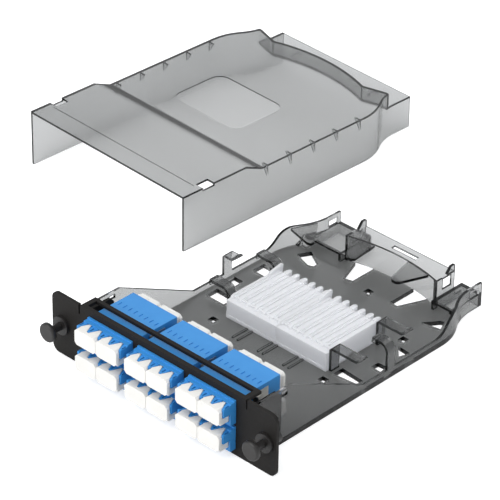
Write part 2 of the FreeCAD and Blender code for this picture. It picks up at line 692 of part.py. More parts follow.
# Floor windows that the mould needs under each finger and tab, and locating holes.
WINDOWS = (
    [("tray_half - 16.9", "66.6"), ("tray_half - 4.9", "67.8"), ("tray_half - 4.5", "71.4"),
     ("tray_half - 16.7", "72.2")],
    [("tray_half - 9.1", "81.8"), ("tray_half - 3.7", "81.4"), ("tray_half - 4.1", "86.2"),
     ("tray_half - 8.7", "85.8")],
    [("tray_half - 11.3", "101.2"), ("tray_half - 5.7", "95.4"), ("tray_half - 4.1", "100.6")],
    [("tray_half - 15.9", "box_front - 13.6"), ("tray_half - 6.9", "box_front - 11.6"),
     ("tray_half - 9.1", "box_front - 6.2"), ("tray_half - 10.9", "box_front - 6.8")],
    [("-tray_half + 9.9", "box_front - 11.6"), ("-tray_half + 19.5", "box_front - 14.8"),
     ("-tray_half + 21.9", "box_front - 13.8"), ("-tray_half + 22.1", "box_front - 10.8"),
     ("-tray_half + 13.1", "box_front - 5.6")],
    [("-16.8", "box_front - 1.2"), ("-13", "box_front - 11.6"), ("-8.4", "box_front - 10.2"),
     ("-8.6", "box_front - 0")],
    [("14.2", "box_front - 11.2"), ("18.6", "box_front - 11.4"), ("23.2", "box_front - 0.6"),
     ("15.4", "box_front - -0.4")],
    [("-tray_half + 4.5", "74"), ("-tray_half + 15.1", "74.4"), ("-tray_half + 15.1", "78"),
     ("-tray_half + 4.5", "78.4")],
    [("-tray_half + 5.1", "102.8"), ("-tray_half + 15.5", "103.2"), ("-tray_half + 15.5", "106.8"),
     ("-tray_half + 5.1", "107.2")],
    [("-tray_half + 2.9", "87"), ("-tray_half + 8.5", "87"), ("-tray_half + 8.5", "90.6"),
     ("-tray_half + 2.9", "90.6")],
)
HOLES = (("-tray_half + 6.1", "111"), ("2.2", "box_front - 11.8"), ("-30.4", "60"), ("33.6", "60.4"),
         ("tray_half - 12.9", "106.4"))
pocket(tray, "floor_windows", "XY_Plane",
       [list(corners) for corners in WINDOWS]
       + [rectangle(x + " - 1.6", y + " - 1", x + " + 1.6", y + " + 1") for x, y in HOLES],
       "-1", "tray_floor + 1.001")

# Pairs of rails in front of the splice holders.
RAILS = []
for middle in ("-14.6", "0.2", "15"):
    for offset in ("-0.4", "2.6"):
        left = "%s + (%s)" % (middle, offset)
        RAILS.append(rectangle(left, "55.5", left + " + 0.8", "holder_front - slip_gap"))
pad(tray, "floor_rails", "XY_Plane", RAILS, "tray_floor - 0.5", "rail_height + 0.5")
doc.recompute()

# The moulding is handed over in simple pieces that meet face to face, one for each
# floor, wall, ledge, finger and shelf, so that each can be used on its own.
FAR = "(tray_half + 5)"
ABOVE = "(wall_high + 2)"


def region(name, outlines, low, high):
    """A plain prism that one piece of the moulding is cut out with."""
    body = new_body(name)
    pad(body, name + "_prism", "XY_Plane", outlines, low, "(%s) - (%s)" % (high, low))
    return body


def slice_of(label, tool):
    """The part of the moulding that lies inside a region."""
    piece = doc.addObject("Part::Common", label)
    piece.Base = tray
    piece.Tool = tool
    return keep(piece, label)


floor_zone = region("floor_zone", [rectangle("-" + FAR, "-1", FAR, "tray_length + 1")],
                    "-1", "tray_floor")
pad(floor_zone, "rail_zone", "XY_Plane",
    [rectangle("-16", "55", "19.5", "holder_front")], "0", "tray_floor + 2 * rail_height")
slice_of("tray_floor", floor_zone)

for side, sign, finger in (("left", "-", "left_wall_finger"), ("right", "", "right_wall_finger")):
    middle, away = "0", sign + FAR
    zone = region(side + "_wall_zone", [rectangle(middle, "-1", away, "tray_length + 1")],
                  "tray_floor", ABOVE)
    pocket(zone, side + "_wall_inside", "XY_Plane",
           [ogee_outline("tray_wall", "-2", "tray_length + 2")], "0", ABOVE)
    front = FINGERS[finger][3]
    pocket(zone, side + "_finger_gap", "YZ_Plane",
           [rectangle(front, "wall_low", front + " + finger_width", ABOVE)],
           "-" + FAR, "2 * %s" % FAR)
    slice_of("tray_%s_wall" % side, zone)

for name, (root, tip, top, front) in FINGERS.items():
    low = "wall_low" if "wall" in name else "tray_floor"
    way = 1 if value(tip) > value(root) else -1
    outline = rectangle(shift(root, -0.5 * way), front, shift(tip, 0.5 * way),
                        front + " + finger_width")
    slice_of(name, region(name + "_zone", [outline], low, ABOVE))

for side, sign, end in (("left", "-", "box_left + box_wall"), ("right", "", "box_right - box_wall")):
    zone = region(side + "_entry_zone", [rectangle(end, "ledge_front - 5", sign + FAR, "tray_length")],
                  "tray_floor", ABOVE)
    pocket(zone, side + "_entry_bound", "XY_Plane",
           [rectangle("-%s - 2" % FAR, "-5", FAR + " + 2", "tray_length + 5"),
            ogee_outline("tray_wall", "-2", "tray_length + 2")], "0", ABOVE)
    if side == "left":
        pocket(zone, "below_wall_tab", "XY_Plane",
               [rectangle("-" + FAR, "0", "box_left - 1", "tray_length + 1")],
               "ledge_height + 1", ABOVE)
    slice_of("%s_entry_ledge" % side, zone)

SPAN = ("box_left + box_wall", "box_right - box_wall")
slice_of("guide_wall", region("guide_zone", [rectangle(SPAN[0], "ledge_front", SPAN[1], "box_rear")],
                              "tray_floor", "box_height - box_wall"))
slice_of("rear_shelf", region("shelf_zone", [rectangle(SPAN[0], "box_front - 15", SPAN[1], "box_rear + 1")],
                              "box_height - box_wall", "box_height + 1"))
tab_zone = region("tab_zone", [rectangle("-" + FAR, "box_front - 15", "box_left - 1", "box_front + 7")],
                  "wall_tail - " + TAB_SHEET, "wall_tail + 1")
pocket(tab_zone, "tab_bound", "XY_Plane",
       [rectangle("-%s - 2" % FAR, "-5", FAR + " + 2", "tray_length + 5"),
        ogee_outline("tray_wall", "-2", "tray_length + 2")], "0", ABOVE)
slice_of("wall_tab", tab_zone)
doc.recompute()
total = sum(thing.Shape.Volume for thing in kept if thing.TypeId == "Part::Common")
if abs(total - tray.Shape.Volume) > 0.5:
    raise RuntimeError("the pieces hold %.2f of the moulding's %.2f" % (total, tray.Shape.Volume))

# Splice holders: two frosted soft blocks with six channels each. Upright walls end
# in rounded posts at the rear, and thin lips close each channel but for a slit.
holder = new_body("holder_body", z="-plate_height / 2 + tray_floor + fit_gap")
pad(holder, "holder_base", "XY_Plane", [rectangle("0", "0", "holder_width", "holder_length")],
    "0", "1.6")
CHANNELS = 6
STEP = "(holder_width - comb_wall) / %d" % CHANNELS
pad(holder, "holder_lips", "XY_Plane",
    [rectangle("0.2", "3.6", "holder_width - 0.2", "holder_length - 3")], "lip_height", "lip_sheet")
slits = []
for channel in range(CHANNELS):
    middle = "%s * %s + comb_wall / 2" % (channel + 0.5, STEP)
    slits.append([(middle + " - 0.45", "4.6"), (middle + " + 0.45", "4.6"), (middle + " + 0.45", "5.6"),
                  (middle + " + lip_slit / 2", "5.6"),
                  (middle + " + lip_slit / 2", "holder_length - 2"),
                  (middle + " - lip_slit / 2", "holder_length - 2"),
                  (middle + " - lip_slit / 2", "5.6"), (middle + " - 0.45", "5.6")])
pocket(holder, "holder_slits", "XY_Plane", slits, "lip_height - 0.5", "lip_sheet + 1")
posts = []
for wall in range(CHANNELS + 1):
    left = "%d * %s" % (wall, STEP)
    crest = "holder_height"
    profile = [("0", "0.8"), ("holder_length - 1", "0.8"), ("holder_length - 1", crest + " - 0.7")]
    if wall == 0:
        profile += [("holder_length - 0.6", crest + " + 1.9"), ("holder_length - 1.2", crest + " + 2.2"),
                    ("holder_length - 8.6", crest + " + 0.9"), ("holder_length - 9", crest)]
    else:
        profile += [("holder_length - 2", crest)]
    profile += [("4.2", crest), ("2.8", crest + " - 0.5"), ("0.4", "holder_height - 4.6")]
    pad(holder, "comb_wall_%d" % wall, "YZ_Plane", [profile], left, "comb_wall")
    if wall:
        middle = left + " + comb_wall / 2"
        inner = middle if wall < CHANNELS else "holder_width - comb_bulb"
        posts.append([(inner + " - comb_bulb", "holder_length - 3.6"),
                      (inner + " + comb_bulb", "holder_length - 3.6"),
                      (inner + " + comb_bulb", "holder_length - 1.2"),
                      (inner + " + comb_bulb / 2", "holder_length"),
                      (inner + " - comb_bulb / 2", "holder_length"),
                      (inner + " - comb_bulb", "holder_length - 1.2")])
pad(holder, "comb_posts", "XY_Plane", posts, "1.5", "holder_height - 1.5 + 0.3")
for side, x in (("left", "holder_middle - holder_width - fit_gap"), ("right", "holder_middle + fit_gap")):
    copy_of(holder, side + "_splice_holder", x, "holder_front")

# Cover: a raised front over the adapters, a slope down to the main panel, a bowed
# riser down to the low tail, and side walls that follow the tray outside. It is
# the difference of two bodies built alike, the inner one smaller by the wall.
COVER_REAR = "tray_length + cover_overhang"
PANEL_START = "cover_step + cover_slope"


def cover_solid(name, inset, front, rear, low, wall):
    """A closed solid with the cover's outline, lowered and drawn in by a wall."""
    body = new_body(name, z="0")
    wide, end = "(tray_half + 5)", "%s + 1" % rear
    pad(body, name + "_block", "XY_Plane", [ogee_outline(inset, front, rear)],
        low, "cover_height - (%s) - (%s)" % (wall, low))
    pocket(body, name + "_drop", "YZ_Plane",
           [[("cover_step", "cover_height + 1"), ("cover_step", "cover_height - (%s)" % wall),
             (PANEL_START, "cover_panel - (%s)" % wall), (end, "cover_panel - (%s)" % wall),
             (end, "cover_height + 1")]],
           "-" + wide, "2 * " + wide)
    pocket(body, name + "_tail", "XY_Plane",
           [[(wide, "riser_side - (%s)" % wall), (wide, end), ("-" + wide, end),
             ("-" + wide, "riser_side - (%s)" % wall),
             ("-riser_half - riser_shoulder", "riser_side - (%s)" % wall),
             ("-riser_half", "riser_front - (%s)" % wall, "riser_radius - (%s)" % wall, -1),
             ("riser_half", "riser_front - (%s)" % wall),
             ("riser_half + riser_shoulder", "riser_side - (%s)" % wall)]],
           "cover_tail_height - (%s)" % wall, "cover_height")
    return body


outer_solid = cover_solid("cover_outer", "-slip_gap - cover_wall", "cover_front", COVER_REAR, "0", "0")
OUTSIDE = "(tray_half + slip_gap + cover_wall)"
pocket(outer_solid, "cover_latch_windows", "XY_Plane",
       [rectangle(sign + OUTSIDE + tail, "13.5", "%s(tray_half + slip_gap - 3.6)" % sign, "20.5")
        for sign, tail in (("-", " - 1"), ("", " + 1"))], "cover_height - 1.6", "3")
pocket(outer_solid, "cover_front_line", "XY_Plane",
       [rectangle("-tray_half + 3", "11.6", "tray_half - 3", "12.1")], "cover_height - 0.3", "1")
PAD = ("-24", "64", "20", "96", "6")
pad_outline = [
    ("%s + %s" % (PAD[0], PAD[4]), PAD[1]), ("%s - %s" % (PAD[2], PAD[4]), PAD[1], PAD[4], 1),
    (PAD[2], "%s + %s" % (PAD[1], PAD[4])), (PAD[2], "%s - %s" % (PAD[3], PAD[4]), PAD[4], 1),
    ("%s - %s" % (PAD[2], PAD[4]), PAD[3]), ("%s + %s" % (PAD[0], PAD[4]), PAD[3], PAD[4], 1),
    (PAD[0], "%s - %s" % (PAD[3], PAD[4])), (PAD[0], "%s + %s" % (PAD[1], PAD[4]), PAD[4], 1),
]
pocket(outer_solid, "cover_pad", "XY_Plane", [pad_outline], "cover_panel - 0.4", "1")
pocket(outer_solid, "cover_lug_slots", "XY_Plane",
       [rectangle(left + " - slip_gap", "box_rear - 5", left + " + box_wall + slip_gap",
                  "box_rear + slip_gap") for left in ("box_left", "box_right - box_wall")],
       "cover_tail_height - 2", "3")
inner_solid = cover_solid("cover_inner", "-slip_gap", "cover_front - 1", COVER_REAR + " + 1",
                          "-1", "cover_wall")
INSIDE = "(tray_half + slip_gap)"
for number in range(5):
    gussets = []
    for sign in ("-", ""):
        gussets.append([(sign + INSIDE, "cover_panel - cover_wall"),
                        ("%s(%s - 3)" % (sign, INSIDE), "cover_panel - cover_wall"),
                        (sign + INSIDE, "cover_panel - cover_wall - 5")])
    pocket(inner_solid, "gusset_gap_%d" % number, "XZ_Plane", gussets,
           "%s + 3 + %d * 15" % (PANEL_START, number), "1")
cover = doc.addObject("Part::Cut", "cover_shell")
cover.Base = outer_solid
cover.Tool = inner_solid
cover.Placement.Rotation = FreeCAD.Rotation(FreeCAD.Vector(0, 0, 1), value("cover_turn"))
place(cover, "cover_aside", "cover_behind", "-plate_height / 2")
keep(cover, "cover")
doc.recompute()

for thing in doc.Objects:
    if {"Invalid", "Error"} & set(thing.State):
        raise RuntimeError("%s failed: %s" % (thing.Name, thing.State))
if len({thing.Label for thing in kept}) < len(kept) or any("00" in thing.Label for thing in kept):
    raise RuntimeError("two sub-parts share a name")
for thing in kept:
    if thing.Shape.isNull() or not thing.Shape.isValid():
        raise RuntimeError("%s has no valid shape" % thing.Label)
for thing in kept:
    thing.Shape.exportStep("parts/%s.step" % thing.Label)
    print("%-28s solids %d volume %.1f" % (thing.Label, len(thing.Shape.Solids), thing.Shape.Volume))
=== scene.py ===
# %% [markdown]
# # A fibre splice cassette
# A black folded face plate carries six blue quad adapters whose ports are closed by
# white dust caps. Behind it lies a smoke-grey moulded tray with fibre fingers and two
# frosted splice holders, and its smoke-grey cover lies taken off beside it. The solids
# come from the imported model; this script gives each one rounded moulded edges and the
# material it is really made of.

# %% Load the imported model
import json
import math

import bpy
from mathutils import Matrix, Vector


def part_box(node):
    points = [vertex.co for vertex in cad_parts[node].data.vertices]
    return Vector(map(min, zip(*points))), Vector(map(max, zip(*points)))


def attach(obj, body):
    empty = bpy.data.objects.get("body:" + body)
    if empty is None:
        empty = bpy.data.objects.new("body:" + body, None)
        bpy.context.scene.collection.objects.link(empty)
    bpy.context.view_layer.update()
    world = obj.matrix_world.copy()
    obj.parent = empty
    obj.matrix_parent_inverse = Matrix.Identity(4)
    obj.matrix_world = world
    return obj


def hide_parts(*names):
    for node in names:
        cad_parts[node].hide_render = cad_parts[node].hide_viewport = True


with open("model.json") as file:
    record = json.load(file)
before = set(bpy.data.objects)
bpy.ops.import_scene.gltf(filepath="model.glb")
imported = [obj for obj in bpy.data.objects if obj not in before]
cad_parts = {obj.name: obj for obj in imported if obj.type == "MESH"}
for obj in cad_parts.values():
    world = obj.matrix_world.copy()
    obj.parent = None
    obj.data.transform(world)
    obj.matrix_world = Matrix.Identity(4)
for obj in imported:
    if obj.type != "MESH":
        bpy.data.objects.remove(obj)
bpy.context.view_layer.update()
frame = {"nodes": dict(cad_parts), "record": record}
MM = 0.001

# %% [markdown]
# ## The camera
# The picture is taken from the front right, looking down by about a third of a right
# angle, with a long lens from more than a metre away, so parallel edges stay nearly
# parallel. The angles were fitted to corners whose real places are known.

# %% Set up the camera
# Angles are in degrees and distances in metres.
AZIMUTH, ELEVATION, ROLL = 43.41, 32.55, 0.90
DISTANCE, FAR_END = 1.33014, 20.0
LENS_MM, SENSOR_MM = 217.43, 36.0
TARGET = Vector((-0.04918, 0.10219, -0.005))

camera_data = bpy.data.cameras.new("studio_camera")
camera_data.lens = LENS_MM
camera_data.sensor_width = SENSOR_MM
camera_data.clip_end = FAR_END
camera = bpy.data.objects.new("studio_camera", camera_data)
bpy.context.collection.objects.link(camera)
turn = (Matrix.Rotation(math.radians(AZIMUTH), 4, "Z")
        @ Matrix.Rotation(math.radians(90 - ELEVATION), 4, "X"))
backwards = turn.to_3x3() @ Vector((0, 0, 1))
camera.matrix_world = (Matrix.Translation(TARGET + backwards * DISTANCE) @ turn
                       @ Matrix.Rotation(math.radians(ROLL), 4, "Z"))
bpy.context.scene.camera = camera
print("camera at", [round(number, 4) for number in camera.location])

# %% [markdown]
# ## Helpers for materials
# Colours are written as they look on screen, in hex, and turned to the linear values
# that Blender mixes light in. One function adds a node with its settings and links, and
# four small ones build what every material needs: noise of a given grain, a colour that
# clouds with it, a number that varies with it, and a bump.

# %% Colour and node helpers
# A Mix node's colour sockets share their names with its number sockets, so they are
# reached by their place in the list.
COLOUR_A, COLOUR_B, COLOUR_OUT = 6, 7, 2
EVEN_COLOURS = (1.0, 1.0, 1.0)


def linear(hex_colour):
    """An sRGB hex colour as the linear red, green, blue and alpha of a socket."""
    channels = [int(hex_colour[i:i + 2], 16) / 255 for i in (1, 3, 5)]
    return [c / 12.92 if c <= 0.04045 else ((c + 0.055) / 1.055) ** 2.4 for c in channels] + [1.0]


def add_node(owner, kind, settings=None, links=None):
    """Add a node; settings go to its properties or sockets, links to its sockets."""
    tree = owner.node_tree
    node = tree.nodes.new(kind)
    for name, what in (settings or {}).items():
        if name in node.inputs:
            node.inputs[name].default_value = what
        else:
            setattr(node, name, what)
    for name, source in (links or {}).items():
        tree.links.new(source, node.inputs[name])
    return node


def start_material(name):
    """An empty material and its object coordinates."""
    material = bpy.data.materials.new(name)
    material.use_nodes = True
    material.node_tree.nodes.clear()
    place = add_node(material, "ShaderNodeTexCoord").outputs["Object"]
    return material, place


def noise(material, place, grain_mm, detail=2.0, rough=0.5):
    """Noise whose grain is about this many millimetres."""
    settings = {"Scale": 1.0 / (grain_mm * MM), "Detail": detail, "Roughness": rough}
    return add_node(material, "ShaderNodeTexNoise", settings, {"Vector": place}).outputs["Fac"]


def blend(material, factor, dark, light):
    """A colour that clouds between two hex colours."""
    node = add_node(material, "ShaderNodeMix", {"data_type": "RGBA"}, {"Factor": factor})
    node.inputs[COLOUR_A].default_value = linear(dark)
    node.inputs[COLOUR_B].default_value = linear(light)
    return node.outputs[COLOUR_OUT]


def spread(material, factor, low, high):
    """A number that runs between two values as its factor does."""
    settings = {"To Min": low, "To Max": high}
    return add_node(material, "ShaderNodeMapRange", settings, {"Value": factor}).outputs[0]


def bump(material, height, strength, height_mm):
    """A surface tilt from a noise taken as height."""
    settings = {"Strength": strength, "Distance": height_mm * MM}
    return add_node(material, "ShaderNodeBump", settings, {"Height": height}).outputs[0]


print("node helpers ready")

# %% [markdown]
# ## Black powder coat
# The face plate is folded steel sheet with a baked powder coat. Powder flows into a
# fine orange peel, which breaks up the highlight, and it is a little paler where the
# coat thins out. The real peel is about half a millimetre; it is drawn at 0.9 mm so that
# it shows at all from this far.

# %% Material: powder-coated steel
def make_powder_coat():
    """Black powder coat with a fine orange peel."""
    material, place = start_material("powder_coated_steel")
    peel = noise(material, place, grain_mm=0.9, detail=3.0, rough=0.6)
    cloud = noise(material, place, grain_mm=14.0)
    shader = add_node(material, "ShaderNodeBsdfPrincipled",
                      {"IOR": 1.5, "Specular IOR Level": 0.2},
                      {"Base Color": blend(material, cloud, "#191716", "#211f1d"),
                       "Roughness": spread(material, peel, low=0.52, high=0.70),
                       "Normal": bump(material, peel, strength=0.25, height_mm=0.06)})
    add_node(material, "ShaderNodeOutputMaterial", {}, {"Surface": shader.outputs[0]})
    return material


powder_coat = make_powder_coat()
print(powder_coat.name, "ready")

# %% [markdown]
# ## Moulded plastics
# Nylon plungers and grommets, the blue adapters and the white caps are injection
# moulded. They share one build: a body colour that clouds slightly where the melt cooled
# unevenly, a fine spark-eroded grain in the gloss, and for the soft white caps some light
# that enters and comes out again.

# %% Material maker: opaque moulded plastic
GLOSS_SPREAD = 0.06


def make_moulded(name, dark, light, rough, scatter=0.0, scatter_mm=1.0):
    """Opaque plastic; scatter is the share of light that enters and comes out again."""
    material, place = start_material(name)
    grain = noise(material, place, grain_mm=0.6)
    cloud = noise(material, place, grain_mm=9.0, detail=3.0, rough=0.55)
    gloss = spread(material, grain, low=rough - GLOSS_SPREAD, high=rough + GLOSS_SPREAD)
    shader = add_node(material, "ShaderNodeBsdfPrincipled",
                      {"IOR": 1.5, "Subsurface Weight": scatter,
                       "Subsurface Scale": scatter_mm * MM, "Subsurface Radius": EVEN_COLOURS},
                      {"Base Color": blend(material, cloud, dark, light), "Roughness": gloss,
                       "Normal": bump(material, grain, strength=0.12, height_mm=0.03)})
    add_node(material, "ShaderNodeOutputMaterial", {}, {"Surface": shader.outputs[0]})
    return material


nylon = make_moulded("black_moulded_nylon", "#1f1e1d", "#2a2827", rough=0.42)
blue_pbt = make_moulded("blue_moulded_pbt", "#3187d0", "#3f97dc", rough=0.42)
white_pe = make_moulded("white_moulded_polyethylene", "#e6e4df", "#f0eeea", rough=0.48,
                        scatter=0.25, scatter_mm=1.2)
print(nylon.name, blue_pbt.name, white_pe.name, "ready")

# %% [markdown]
# ## Spring steel
# The clips round the adapters are stamped from bright spring strip, whose rolling marks
# run along it.

# %% Material: spring steel
def make_spring_steel():
    """Bright metal whose gloss varies in long fine marks."""
    material, place = start_material("rolled_spring_steel")
    stretch = add_node(material, "ShaderNodeMapping", {"Scale": (0.05, 1.0, 1.0)}, {"Vector": place})
    marks = noise(material, stretch.outputs[0], grain_mm=0.4)
    shader = add_node(material, "ShaderNodeBsdfPrincipled",
                      {"Base Color": linear("#c4c3be"), "Metallic": 1.0},
                      {"Roughness": spread(material, marks, low=0.22, high=0.40)})
    add_node(material, "ShaderNodeOutputMaterial", {}, {"Surface": shader.outputs[0]})
    return material


spring_steel = make_spring_steel()
print(spring_steel.name, "ready")

# %% [markdown]
# ## Smoke polycarbonate and frosted elastomer
# The tray and the cover are clear plastic with a little carbon in it. Light is absorbed
# on its way through, so a wall seen face on is pale and the same wall seen along its
# edge is nearly black, which draws the dark outlines in the photograph. That comes from
# a real absorbing volume inside a clear surface. Lamps shine straight through by a
# Transparent shader, because bent lamp light would need far more samples. The splice
# holders are soft and milky: most light that enters them is scattered under the surface,
# and only the rest passes through.

# %% Material maker: clear tinted plastic
GLOSS_LOW, GLOSS_HIGH = 0.8, 1.3
SCATTER_MM = 4.0
SHADOW_TINT = (0.92, 0.92, 0.92, 1.0)


def make_clear(name, tint, depth_mm, rough, milk=0.0, milk_colour="#ffffff", ior=1.45):
    """Clear plastic that tints in depth; milk is the share of light scattered inside."""
    material, place = start_material(name)
    flow = noise(material, place, grain_mm=22.0)
    fine = noise(material, place, grain_mm=0.8)
    gloss = spread(material, flow, low=rough * GLOSS_LOW, high=rough * GLOSS_HIGH)
    shader = add_node(material, "ShaderNodeBsdfPrincipled",
                      {"Base Color": linear(milk_colour), "IOR": ior,
                       "Transmission Weight": 1.0 - milk, "Subsurface Weight": milk,
                       "Subsurface Scale": SCATTER_MM * MM, "Subsurface Radius": EVEN_COLOURS},
                      {"Roughness": gloss,
                       "Normal": bump(material, fine, strength=0.08, height_mm=0.02)})
    through = add_node(material, "ShaderNodeBsdfTransparent", {"Color": SHADOW_TINT})
    path = add_node(material, "ShaderNodeLightPath")
    mixed = add_node(material, "ShaderNodeMixShader", {},
                     {"Fac": path.outputs["Is Shadow Ray"], 1: shader.outputs[0],
                      2: through.outputs[0]})
    absorb = add_node(material, "ShaderNodeVolumeAbsorption",
                      {"Color": linear(tint), "Density": 1.0 / (depth_mm * MM)})
    add_node(material, "ShaderNodeOutputMaterial", {},
             {"Surface": mixed.outputs[0], "Volume": absorb.outputs[0]})
    return material


smoke_tray = make_clear("smoke_polycarbonate_tray", "#4c5251", depth_mm=2.30, rough=0.10)
smoke_cover = make_clear("smoke_polycarbonate_cover", "#4c5453", depth_mm=2.30, rough=0.10)
frosted = make_clear("frosted_elastomer", "#eef0f4", depth_mm=14.0, rough=0.42, milk=0.78,
                     milk_colour="#f1f2f5", ior=1.41)
print(smoke_tray.name, smoke_cover.name, frosted.name, "ready")

# %% [markdown]
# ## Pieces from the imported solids
# A moulded or folded edge is never razor sharp. Each solid is copied, its loose
# triangles are joined, flat faces are merged again, and a small round is cut along every
# edge that turns by more than a set angle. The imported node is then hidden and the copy
# rides in its place.

# %% Helpers: a copy of a node with rounded edges
MATERIALS = {
    "black_paint": powder_coat, "black_nylon": nylon, "blue_plastic": blue_pbt,
    "spring_steel": spring_steel, "white_cap": white_pe, "smoke_tray": smoke_tray,
    "frosted_holder": frosted, "smoke_cover": smoke_cover,
}
ROUNDS_MM = {
    "black_paint": 0.25, "black_nylon": 0.3, "blue_plastic": 0.2, "spring_steel": 0.05,
    "white_cap": 0.35, "smoke_tray": 0.18, "frosted_holder": 0.2, "smoke_cover": 0.2,
}
SLOTS = {item["node"]: item["material_slot"] for item in frame["record"]["subparts"]}
BODY_OF = {node: body for body, nodes in frame["record"]["behaviour"]["bodies"].items()
           for node in nodes}
WELD_MM = 0.001
FLAT_DEGREES = 0.5
ROUNDED_DEGREES, ROUND_STEPS = 32.0, 2
SMOOTH_DEGREES, FLAT_FACE_WEIGHT = 34, 90


def clean_copy(node):
    """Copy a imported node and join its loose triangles."""
    bpy.ops.object.select_all(action="DESELECT")
    source = frame["nodes"][node]
    source.select_set(True)
    bpy.context.view_layer.objects.active = source
    bpy.ops.object.duplicate()
    piece = bpy.context.view_layer.objects.active
    bpy.ops.object.mode_set(mode="EDIT")
    bpy.ops.mesh.select_all(action="SELECT")
    bpy.ops.mesh.remove_doubles(threshold=WELD_MM * MM)
    bpy.ops.object.mode_set(mode="OBJECT")
    return piece


def finish_piece(piece, name, nodes, round_mm):
    """Merge flat faces, round the edges, and put the piece in its nodes' place."""
    piece.name = name
    bpy.ops.object.select_all(action="DESELECT")
    piece.select_set(True)
    bpy.context.view_layer.objects.active = piece
    bpy.ops.object.mode_set(mode="EDIT")
    bpy.ops.mesh.select_all(action="SELECT")
    bpy.ops.mesh.dissolve_limited(angle_limit=math.radians(FLAT_DEGREES))
    bpy.ops.object.mode_set(mode="OBJECT")
    bevel = piece.modifiers.new("edge_round", "BEVEL")
    bevel.width = round_mm * MM
    bevel.segments = ROUND_STEPS
    bevel.limit_method = "ANGLE"
    bevel.angle_limit = math.radians(ROUNDED_DEGREES)
    bevel.use_clamp_overlap = True
    bpy.ops.object.modifier_apply(modifier="edge_round")
    bpy.ops.object.mode_set(mode="EDIT")
    bpy.ops.mesh.select_all(action="SELECT")
    bpy.ops.mesh.quads_convert_to_tris(quad_method="BEAUTY", ngon_method="BEAUTY")
    bpy.ops.object.mode_set(mode="OBJECT")
    bpy.ops.object.shade_smooth_by_angle(angle=math.radians(SMOOTH_DEGREES))
    weigh = piece.modifiers.new("flat_faces_stay_flat", "WEIGHTED_NORMAL")
    weigh.keep_sharp = True
    weigh.weight = FLAT_FACE_WEIGHT
    bpy.ops.object.modifier_apply(modifier="flat_faces_stay_flat")
    piece.data.materials.clear()
    piece.data.materials.append(MATERIALS[SLOTS[nodes[0]]])
    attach(piece, BODY_OF[nodes[0]])
    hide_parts(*nodes)
    return piece


print(len(MATERIALS), "materials for", len(SLOTS), "nodes")

# %% [markdown]
# ## Blocks and wedges
# A few details are added to the copies or cut from them with plain blocks, and with
# wedges whose front end is narrower. All their sizes are in millimetres.

# %% Helpers: a block, a wedge and the sum or difference of two closed meshes
def block(low, high):
    """A box between two corners, given in millimetres."""
    bpy.ops.object.select_all(action="DESELECT")
    middle = [(a + b) / 2 * MM for a, b in zip(low, high)]
    bpy.ops.mesh.primitive_cube_add(size=1.0, location=middle)
    made = bpy.context.view_layer.objects.active
    made.dimensions = [(b - a) * MM for a, b in zip(low, high)]
    bpy.ops.object.transform_apply(location=True, rotation=True, scale=True)
    return made


def wedge(low, high, draw_left, draw_right):
    """A block whose front end is drawn in from the left and from the right."""
    made = block(low, high)
    centre = (low[0] + high[0]) / 2 * MM
    halfway = (low[1] + high[1]) / 2 * MM
    for way, draw in ((-1, draw_left), (1, draw_right)):
        bpy.ops.object.mode_set(mode="EDIT")
        bpy.ops.mesh.select_mode(type="VERT")
        bpy.ops.mesh.select_all(action="DESELECT")
        bpy.ops.object.mode_set(mode="OBJECT")
        for corner in made.data.vertices:
            corner.select = (corner.co.x - centre) * way > 0 and corner.co.y < halfway
        bpy.ops.object.mode_set(mode="EDIT")
        bpy.ops.transform.translate(value=(-way * draw * MM, 0, 0))
        bpy.ops.object.mode_set(mode="OBJECT")
    return made


def combine(target, tool, way):
    """Apply a boolean of two closed meshes and remove the second one."""
    bpy.ops.object.select_all(action="DESELECT")
    bpy.context.view_layer.objects.active = target
    step = target.modifiers.new(way.lower(), "BOOLEAN")
    step.operation = way
    step.solver = "MANIFOLD"
    step.object = tool
    bpy.ops.object.modifier_apply(modifier=step.name)
    bpy.data.objects.remove(tool)


def box_mm(node):
    """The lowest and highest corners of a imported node, in millimetres."""
    low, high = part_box(node)
    return [number / MM for number in low], [number / MM for number in high]


print("block helpers ready")

# %% [markdown]
# ## Details on the adapters
# Between two caps' fins a slotted tongue of the adapter reaches forward. It is wide at
# the adapter and narrow at its tip, so a cap still pulls straight off. Above the tongues
# the rim of the adapter steps down. At the rear a thin hood round the ports reaches to
# the caps' plates, and a cap slides out of it.

# %% Helpers: tongues and hood of an adapter
# Lengths run from the adapter's front or rear face, feet and tops are heights above its
# foot, and drops are measured down from its top.
BEYOND = 1.0
STEP_LENGTH, STEP_DROP = 2.1, 1.2
PORT_PITCH, FIRST_TONGUE, LAST_TONGUE = 6.25, -2, 2
TONGUE_HALF, TONGUE_DRAW, STRAIGHT_HALF = 2.3, 1.8, 0.5
TONGUE_LENGTH, TONGUE_ROOT, TONGUE_FOOT, TONGUE_TOP = 4.0, 0.5, 6.4, 10.6
SLOT_HALF, SLOT_START, SLOT_END, SLOT_FOOT, SLOT_TOP = 0.3, 2.9, 0.3, 8.0, 11.0
HOOD_HALF, HOOD_ROOT, HOOD_LENGTH, HOOD_FOOT, HOOD_DROP = 13.0, 3.3, 2.2, 1.1, 0.6
HOOD_INSIDE_TOP, HOOD_INSIDE_END = 10.75, 5.0
NARROW_HALF, NARROW_START = 12.0, -4.0
WIDE_HALF, WIDE_START = 12.5, -0.05


